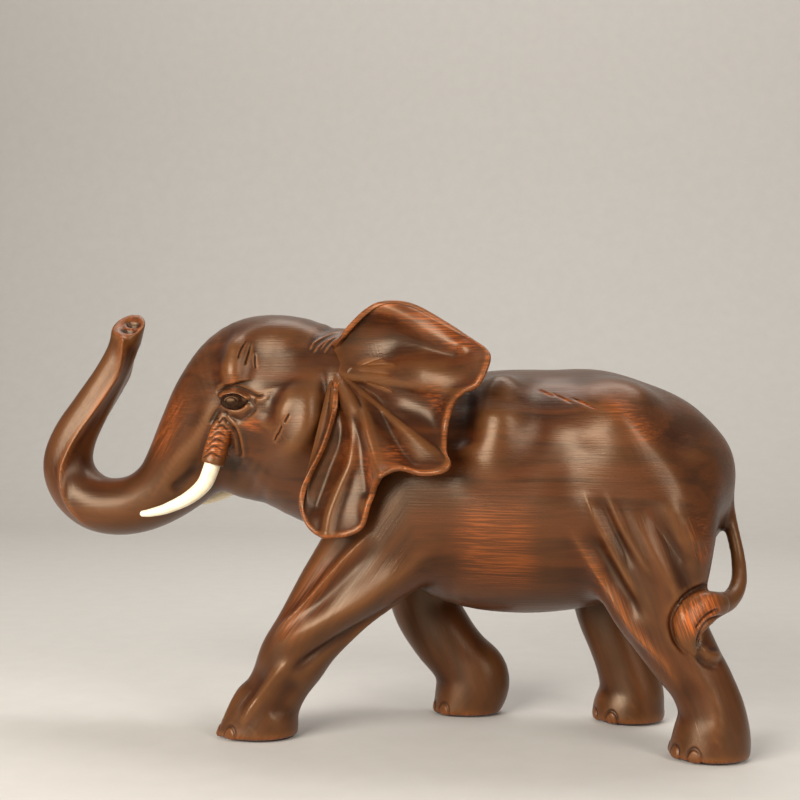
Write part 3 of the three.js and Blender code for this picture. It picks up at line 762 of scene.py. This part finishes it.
def carve_ear():
    """The left ear: a sheet fanned out from its root, worked with strokes, then thickened."""
    columns, rows = ((420, 190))
    rim_rows = spline(EAR_RIM, 12)
    turn = np.linspace(0, 1, columns) * (len(rim_rows) - 1)
    rim = [np.interp(turn, np.arange(len(rim_rows)), column)[:, None] for column in rim_rows.T]
    share = np.linspace(0, 1, columns)[:, None]
    t = np.linspace(0, 1, rows)[None, :]
    at_top = smoothstep(0.3, 0.0, share)
    root = [low * (1 - at_top) + high * at_top for low, high in zip(EAR_ROOT, EAR_ROOT_TOP)]
    x = root[0] + (rim[0] - root[0]) * t
    z = root[2] + (rim[1] - root[2]) * t
    out = root[1] + (rim[2] - root[1]) * t**EAR_PROFILE
    flat = np.stack([x.ravel(), z.ravel()], axis=1)
    for path, width, height, power in EAR_STROKES:
        out += height * stroke_shape(flat, path, width, None, power, (0.45, 0)).reshape(x.shape)
    for path in EAR_CREASES:
        out -= 0.8 * stroke_shape(flat, path, 0.5, None, 1.6, (0.2, 0.4)).reshape(x.shape)
    length = np.hypot(rim[0] - root[0], rim[1] - root[2])
    from_rim = (1 - t) * length
    out += rim[3] * np.exp(-((from_rim / 5) ** 1.5))
    sheet = np.stack([x, -out, z], axis=2)
    return thicken(sheet, t, from_rim, share)


def thicken(sheet, t, from_rim, share):
    """A closed skin round a sheet: thick at its root, thin in the middle, with a rolled and rounded rim."""
    normal = np.cross(np.gradient(sheet, axis=0), np.gradient(sheet, axis=1))
    normal[:, 0] = normal[:, 1]
    normal /= np.maximum(np.linalg.norm(normal, axis=2), 1e-9)[:, :, None]
    normal *= -np.sign(normal[..., 1].mean())
    roll = EAR_RIM_ROLL * np.exp(-((from_rim / 1.4) ** 2))
    half = 0.5 * (EAR_THIN + EAR_ROOT_SWELL * (1 - t) ** 3 + roll)
    ends = smoothstep(0, 0.012, np.minimum(share, 1 - share)) * 0.9 + 0.1
    half = (half * ends)[:, :, None]
    outward = sheet[:, -1] - sheet[:, -2]
    outward /= np.linalg.norm(outward, axis=1)[:, None]
    edge = []
    for angle in np.linspace(0, np.pi, 9)[1:-1]:
        swing = np.cos(angle) * normal[:, -1] + np.sin(angle) * outward
        edge.append(sheet[:, -1] + swing * half[:, -1])
    rings = [sheet + normal * half, np.stack(edge, 1), (sheet - normal * half)[:, ::-1]]
    skin = Skin(*ring_mesh(np.concatenate(rings, axis=1)))
    rim_wear = np.exp(-((from_rim / 0.9) ** 2)) * 0.5
    flat = sheet.reshape(-1, 3)[:, [0, 2]]
    for path, width, wear in EAR_WEAR:
        patch = wear * stroke_shape(flat, path, width, None, 2, (0, 0)).reshape(sheet.shape[:2])
        rim_wear = np.maximum(rim_wear, patch)
    edge_wear = np.full((len(sheet), len(edge)), 0.4)
    wear = np.concatenate([rim_wear, edge_wear, rim_wear[:, ::-1] * 0.6], axis=1).ravel()
    skin.marks["wear"] = np.append(wear, [0.0, 0.0])
    return skin


def far_ear(skin):
    """The right ear: the left one mirrored, shorter, flatter, and swung back a little."""
    pivot_x, pivot_y = FAR_EAR_PIVOT
    x = (skin.vertices[:, 0] - pivot_x) * FAR_EAR_REACH
    y = (-skin.vertices[:, 1] - pivot_y) * FAR_EAR_DEPTH
    turned_x = x * math.cos(FAR_EAR_TURN) - y * math.sin(FAR_EAR_TURN) + pivot_x
    turned_y = x * math.sin(FAR_EAR_TURN) + y * math.cos(FAR_EAR_TURN) + pivot_y
    copy = Skin(np.stack([turned_x, turned_y, skin.vertices[:, 2]], axis=1), skin.triangles)
    copy.marks["wear"] = skin.marks["wear"]
    return copy


# ---- The grain's run, for the stain's streaks ----

GRAIN_TURNS = {"grain_level": 0, "grain_fore": 55, "grain_hind": 110}


def mark_grain(skin):
    """Weighs up three grain directions at each vertex by the run of the limbs near it, seen from the side."""
    double = np.zeros((len(skin.vertices), 2))
    for limb in (TORSO, HEAD_AND_TRUNK, TAIL) + LEGS:
        rows = spline(limb, 1)
        for a, b in zip(rows, rows[1:]):
            step = b[:3] - a[:3]
            t = np.clip((skin.vertices - a[:3]) @ step / (step @ step), 0, 1)
            gap = np.linalg.norm(skin.vertices - a[:3] - t[:, None] * step, axis=1) / a[3:].mean()
            turn = 2 * math.atan2(step[2], step[0])
            double += np.exp(-5 * gap)[:, None] * (math.cos(turn), math.sin(turn))
    double /= np.linalg.norm(double, axis=1)[:, None]
    weights = []
    for turn in GRAIN_TURNS.values():
        along = double @ (math.cos(math.radians(2 * turn)), math.sin(math.radians(2 * turn)))
        weights.append(np.maximum(along + 0.35, 0.02) ** 2)
    for name, weight in zip(GRAIN_TURNS, weights):
        skin.marks[name] = weight / sum(weights)


# ---- Materials ----

class Nodes:
    """One material's node tree, with short names for the nodes it needs."""

    def __init__(self, name):
        self.material = bpy.data.materials.new(name)
        self.material.use_nodes = True
        self.tree = self.material.node_tree
        self.shader = self.tree.nodes["Principled BSDF"]
        self.place = self.add("ShaderNodeTexCoord").outputs["Object"]

    def add(self, kind, **settings):
        node = self.tree.nodes.new(kind)
        for key, value in settings.items():
            setattr(node, key, value)
        return node

    def feed(self, socket, value):
        if isinstance(value, bpy.types.NodeSocket):
            self.tree.links.new(value, socket)
        else:
            socket.default_value = value

    def look(self, **values):
        for key, value in values.items():
            self.feed(self.shader.inputs[key.replace("_", " ").title().replace("Ior", "IOR")], value)

    def math(self, operation, *values):
        node = self.add("ShaderNodeMath", operation=operation)
        for socket, value in zip(node.inputs, values):
            self.feed(socket, value)
        return node.outputs[0]

    def step(self, value, low, high, to_low=0.0, to_high=1.0):
        node = self.add("ShaderNodeMapRange", interpolation_type="SMOOTHSTEP")
        for socket, number in zip(node.inputs, (value, low, high, to_low, to_high)):
            self.feed(socket, number)
        return node.outputs[0]

    def mix(self, share, a, b):
        node = self.add("ShaderNodeMix", data_type="RGBA")
        for socket, value in ((0, share), (6, a), (7, b)):  # the sockets of a colour mix
            self.feed(node.inputs[socket], value)
        return node.outputs[2]

    def mark(self, name):
        return self.add("ShaderNodeAttribute", attribute_name=name).outputs["Fac"]

    def noise(self, scales, detail=2.0, roughness=0.5, turn=0.0, warp=0.0):
        """Noise stretched by its scales along each axis (per metre), after a turn seen from the side."""
        turned = self.add("ShaderNodeVectorRotate", rotation_type="Y_AXIS")
        self.feed(turned.inputs["Vector"], self.place)
        self.feed(turned.inputs["Angle"], math.radians(turn))
        stretched = self.add("ShaderNodeVectorMath", operation="MULTIPLY")
        self.feed(stretched.inputs[0], turned.outputs[0])
        self.feed(stretched.inputs[1], scales)
        node = self.add("ShaderNodeTexNoise")
        self.feed(node.inputs["Vector"], stretched.outputs[0])
        self.feed(node.inputs["Scale"], 1.0)
        self.feed(node.inputs["Detail"], detail)
        self.feed(node.inputs["Roughness"], roughness)
        self.feed(node.inputs["Distortion"], warp)
        return node.outputs[0]

    def bump(self, height, distance):
        node = self.add("ShaderNodeBump")
        self.feed(node.inputs["Height"], height)
        self.feed(node.inputs["Distance"], distance)
        self.feed(self.shader.inputs["Normal"], node.outputs[0])

    def along_grain(self, scales, **settings):
        """Noise drawn out along the grain, which turns with the limbs."""
        total = 0.0
        for name, turn in GRAIN_TURNS.items():
            part = self.math("MULTIPLY", self.noise(scales, turn=turn, **settings), self.mark(name))
            total = self.math("ADD", part, total)
        return total


def rgb(red, green, blue):
    """A colour from its screen values, 0 to 255."""
    return [((c / 255 + 0.055) / 1.055) ** 2.4 if c > 10 else c / 3294 for c in (red, green, blue)] + [1.0]


def stained_wood():
    """Dark stain over orange wood, rubbed through on edges and in streaks, under a satin wax. Broad swells
    are lightened (partly stain rubbed thin, partly painted light), hollows are darkened (partly stain left in
    them, partly painted shade), and the trunk's end carries a painted highlight.
    """
    n = Nodes("stained_wood")
    figure = n.along_grain((9.0, 70.0, 130.0), detail=3.0, warp=0.6)
    streaks = n.along_grain((30.0, 350.0, 1500.0), detail=3.0, roughness=0.6)
    mottle = n.noise((35.0, 35.0, 35.0), detail=3.0)
    ridge = n.mark("ridge")
    form = n.mark("form")
    streaky = n.step(streaks, 0.44, 0.62)
    # This mark holds the real wear and, at the trunk's end, a painted highlight; both move the colour towards
    # the orange wood.
    wear = n.math("MULTIPLY", n.mark("wear"), n.math("MULTIPLY_ADD", streaky, 0.75, 0.4))
    edge = n.math("MULTIPLY", n.step(ridge, 0.1, 0.45), 0.32)
    rubbed_and_highlight = n.math("MAXIMUM", wear, n.math("MULTIPLY", edge, n.step(mottle, 0.35, 0.6, 0.5, 1.0)))
    # Broad swells are lightened towards a pale brown: partly stain rubbed thin on them, partly painted light.
    lit_swell = n.step(form, -0.02, 0.07)
    stain_and_swell_light = n.mix(n.step(figure, 0.35, 0.68), rgb(46, 19, 6), rgb(72, 34, 12))
    stain_and_swell_light = n.mix(n.math("MULTIPLY", lit_swell, 0.5), stain_and_swell_light, rgb(112, 70, 36))
    wood = n.mix(n.step(streaks, 0.35, 0.65), rgb(116, 50, 16), rgb(176, 88, 33))
    colour = n.mix(rubbed_and_highlight, stain_and_swell_light, wood)
    # Hollows and sunken forms are darkened towards a near-black brown: partly stain left in them, partly
    # painted shade.
    shaded_sunken = n.math("MULTIPLY", n.step(form, -0.015, -0.08), 0.6)
    shaded_hollow = n.math("MAXIMUM", n.step(ridge, -0.08, -0.4), shaded_sunken)
    colour = n.mix(n.math("MULTIPLY", shaded_hollow, 0.8), colour, rgb(19, 8, 4))
    n.look(base_color=colour, ior=1.5, specular_tint=rgb(255, 220, 180))
    rough = n.step(streaks, 0.3, 0.7, 0.31, 0.41)
    n.look(roughness=n.math("ADD", rough, n.math("MULTIPLY", shaded_hollow, 0.15)))
    n.look(coat_weight=0.12, coat_roughness=0.28)
    n.bump(n.math("ADD", streaks, n.math("MULTIPLY", mottle, 0.6)), 0.00012)
    return n.material


def ivory():
    n = Nodes("ivory")
    lines = n.noise((60.0, 500.0, 300.0), detail=3.0, turn=-25)
    n.look(base_color=n.mix(n.step(lines, 0.35, 0.7), rgb(246, 232, 204), rgb(236, 216, 178)))
    n.look(roughness=n.step(lines, 0.3, 0.7, 0.24, 0.36), subsurface_weight=0.15, coat_weight=0.3)
    n.shader.inputs["Subsurface Radius"].default_value = (0.003, 0.002, 0.001)
    n.bump(lines, 0.00005)
    return n.material


def dark_eye():
    n = Nodes("dark_eye")
    cloud = n.noise((400.0, 400.0, 400.0), detail=3.0)
    n.look(base_color=n.mix(n.step(cloud, 0.35, 0.65), rgb(16, 7, 4), rgb(40, 20, 11)))
    n.look(roughness=n.step(cloud, 0.3, 0.7, 0.24, 0.34), ior=1.4, specular_tint=rgb(255, 200, 150))
    n.bump(cloud, 0.00004)
    return n.material


def dark_felt():
    n = Nodes("dark_felt")
    fibres = n.noise((2400.0, 2400.0, 2400.0), detail=4.0, roughness=0.7)
    n.look(base_color=n.mix(fibres, rgb(34, 22, 16), rgb(66, 46, 34)), roughness=0.95, sheen_weight=0.5)
    n.bump(fibres, 0.0003)
    return n.material


# ---- Building ----

TUSK = [
    [-75.4, 32.4, 134, 3.9], [-77, 33, 128, 3.95], [-80.2, 34, 121, 3.75], [-87.5, 35.4, 114.6, 3.3],
    [-98, 36.3, 109.6, 2.6], [-106, 36.5, 107.4, 2.0], [-110.4, 36.5, 106.8, 1.5],
]
PAD_EDGE = 0.6  # how far a pad's edge is rounded in


def place_piece(skin, name, node, material):
    piece = skin.to_object(name)
    piece.data.materials.append(material)
    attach(piece, "root")
    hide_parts(node)
    return piece


def eye_skin(side):
    """An eyeball with a shallow ring cut round its iris, looking outwards and a little ahead."""
    bend = np.linspace(0, np.pi, 72)[1:-1, None]
    turn = np.linspace(0, 2 * np.pi, 96, endpoint=False)[None, :]
    ring = np.exp(-(((np.sin(bend) - RING_RADIUS) / RING_WIDTH) ** 2)) * (np.cos(bend) > 0)
    swell = 1 - RING_DEPTH * ring
    across = np.sin(bend) * np.cos(turn) * swell
    height = np.sin(bend) * np.sin(turn) * swell
    outwards = np.cos(bend) * np.ones_like(turn) * swell
    x = EYE[0] + EYE_RADII[0] * across - EYE_LOOKS_AHEAD * outwards
    y = side * (EYE[1] + EYE_RADII[1] * outwards)
    z = EYE[2] + EYE_RADII[2] * height
    return Skin(*ring_mesh(np.stack([x, y, z], axis=2)))


def pad_skin(node):
    """A felt pad with a soft rounded edge, inside the CAD pad's own box."""
    low, high = (np.array(corner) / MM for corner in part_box(node))
    middle, half = (low + high) / 2, (high - low) / 2
    turn = np.linspace(0, 2 * np.pi, 96, endpoint=False)
    rings = []
    for bend in np.linspace(-np.pi / 2, np.pi / 2, 9):
        shrink = PAD_EDGE * (1 - math.cos(bend))
        x = middle[0] + (half[0] - shrink) * np.cos(turn)
        y = middle[1] + (half[1] - shrink) * np.sin(turn)
        rings.append(np.stack([x, y, np.full_like(x, middle[2] + half[2] * math.sin(bend))], axis=1))
    return Skin(*ring_mesh(np.stack(rings)))


wood = stained_wood()
tooth = ivory()
eyeball = dark_eye()
felt = dark_felt()

body = carve_body()
body.smooth(8)
work_body(body)
work_far_legs(body)
body.press()
for foot, radii, turns in FEET:
    carve_nails(body, foot, radii, turns)
wear_body(body)

head = carve_head()
head.smooth(10)
work_head(head)
wear_head(head)

left_ear = carve_ear()
right_ear = far_ear(left_ear)

for name, skin in (("body", body), ("head", head), ("left_ear", left_ear), ("right_ear", right_ear)):
    skin.mark_form()
    mark_grain(skin)
    place_piece(skin, f"carved_{name}", name, wood)
for name, side in (("left", LEFT), ("right", RIGHT)):
    tusk = horn([[x, side * y, z, radius] for x, y, z, radius in TUSK])
    place_piece(tusk, f"ivory_{name}_tusk", f"{name}_tusk", tooth)
    place_piece(eye_skin(side), f"carved_{name}_eye", f"{name}_eye", eyeball)
for place in ("front_left", "front_right", "rear_left", "rear_right"):
    place_piece(pad_skin(f"pad_{place}"), f"felt_{place}", f"pad_{place}", felt)
for name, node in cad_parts.items():
    if "dowel" in name:
        node.data.materials.clear()
        node.data.materials.append(wood)


# ---- The studio ----

CAMERA_TURN = math.radians(11)
CAMERA_DISTANCE = 0.681
CAMERA_HEIGHT = 0.165
CAMERA_AIM_X = 0.011
IMAGE_WIDTH = 800  # in pixels, as are the two below
FOCAL_LENGTH = 1362
IMAGE_SHIFT = -5
SENSOR_WIDTH = 36


def add_light(name, place, target, size, power, colour=(1, 1, 1)):
    data = bpy.data.lights.new(name, "AREA")
    data.shape = "RECTANGLE"
    data.size, data.size_y = size
    data.energy = power
    data.color = colour
    light = bpy.data.objects.new(name, data)
    light.location = place
    light.rotation_euler = (Vector(target) - Vector(place)).to_track_quat("-Z", "Y").to_euler()
    bpy.context.scene.collection.objects.link(light)


def add_sweep():
    """A pale floor that curves up into a backdrop behind."""
    turn = np.linspace(0, np.pi / 2, 25)
    curve = [(-5.0, 0.0)] + [(0.9 + 0.7 * math.sin(a), 0.7 - 0.7 * math.cos(a)) for a in turn] + [(1.6, 6.0)]
    points = [(x, y, z) for y, z in curve for x in (-9.0, 9.0)]
    faces = [(2 * k, 2 * k + 1, 2 * k + 3, 2 * k + 2) for k in range(len(curve) - 1)]
    mesh = bpy.data.meshes.new("sweep")
    mesh.from_pydata(points, [], faces)
    mesh.shade_smooth()
    sweep = bpy.data.objects.new("sweep", mesh)
    bpy.context.scene.collection.objects.link(sweep)
    n = Nodes("pale_paper")
    fibre = n.noise((60.0, 60.0, 60.0), detail=4.0)
    n.look(base_color=n.mix(fibre, rgb(198, 193, 186), rgb(206, 201, 194)), roughness=0.75)
    mesh.materials.append(n.material)


add_sweep()
world = bpy.data.worlds.new("studio")
world.use_nodes = True
world.node_tree.nodes["Background"].inputs["Color"].default_value = (1.0, 0.98, 0.95, 1)
world.node_tree.nodes["Background"].inputs["Strength"].default_value = 0.2
bpy.context.scene.world = world

add_light("key", (-0.48, -1.0, 0.5), (-0.02, 0, 0.1), (0.8, 0.65), 21, (1, 0.96, 0.9))
add_light("side", (0.8, -0.7, 0.6), (0.06, 0, 0.1), (0.35, 0.8), 6, (1, 0.97, 0.93))
add_light("top", (0.1, 0.35, 1.0), (0, 0, 0.1), (1.0, 0.4), 3.5)
add_light("backdrop", (0, 0.55, 1.7), (0, 1.5, 0.5), (2.4, 0.5), 13)

camera_data = bpy.data.cameras.new("camera")
camera = bpy.data.objects.new("camera", camera_data)
bpy.context.scene.collection.objects.link(camera)
look = Vector((-math.sin(CAMERA_TURN), math.cos(CAMERA_TURN), 0))
camera.location = Vector((CAMERA_AIM_X, 0, CAMERA_HEIGHT)) - look * CAMERA_DISTANCE
camera.rotation_euler = look.to_track_quat("-Z", "Y").to_euler()
camera_data.sensor_width = SENSOR_WIDTH
camera_data.lens = SENSOR_WIDTH * FOCAL_LENGTH / IMAGE_WIDTH
camera_data.shift_y = IMAGE_SHIFT / IMAGE_WIDTH
camera_data.clip_start = 0.05
camera_data.clip_end = 50
bpy.context.scene.camera = camera
bpy.context.scene.view_settings.view_transform = "Standard"
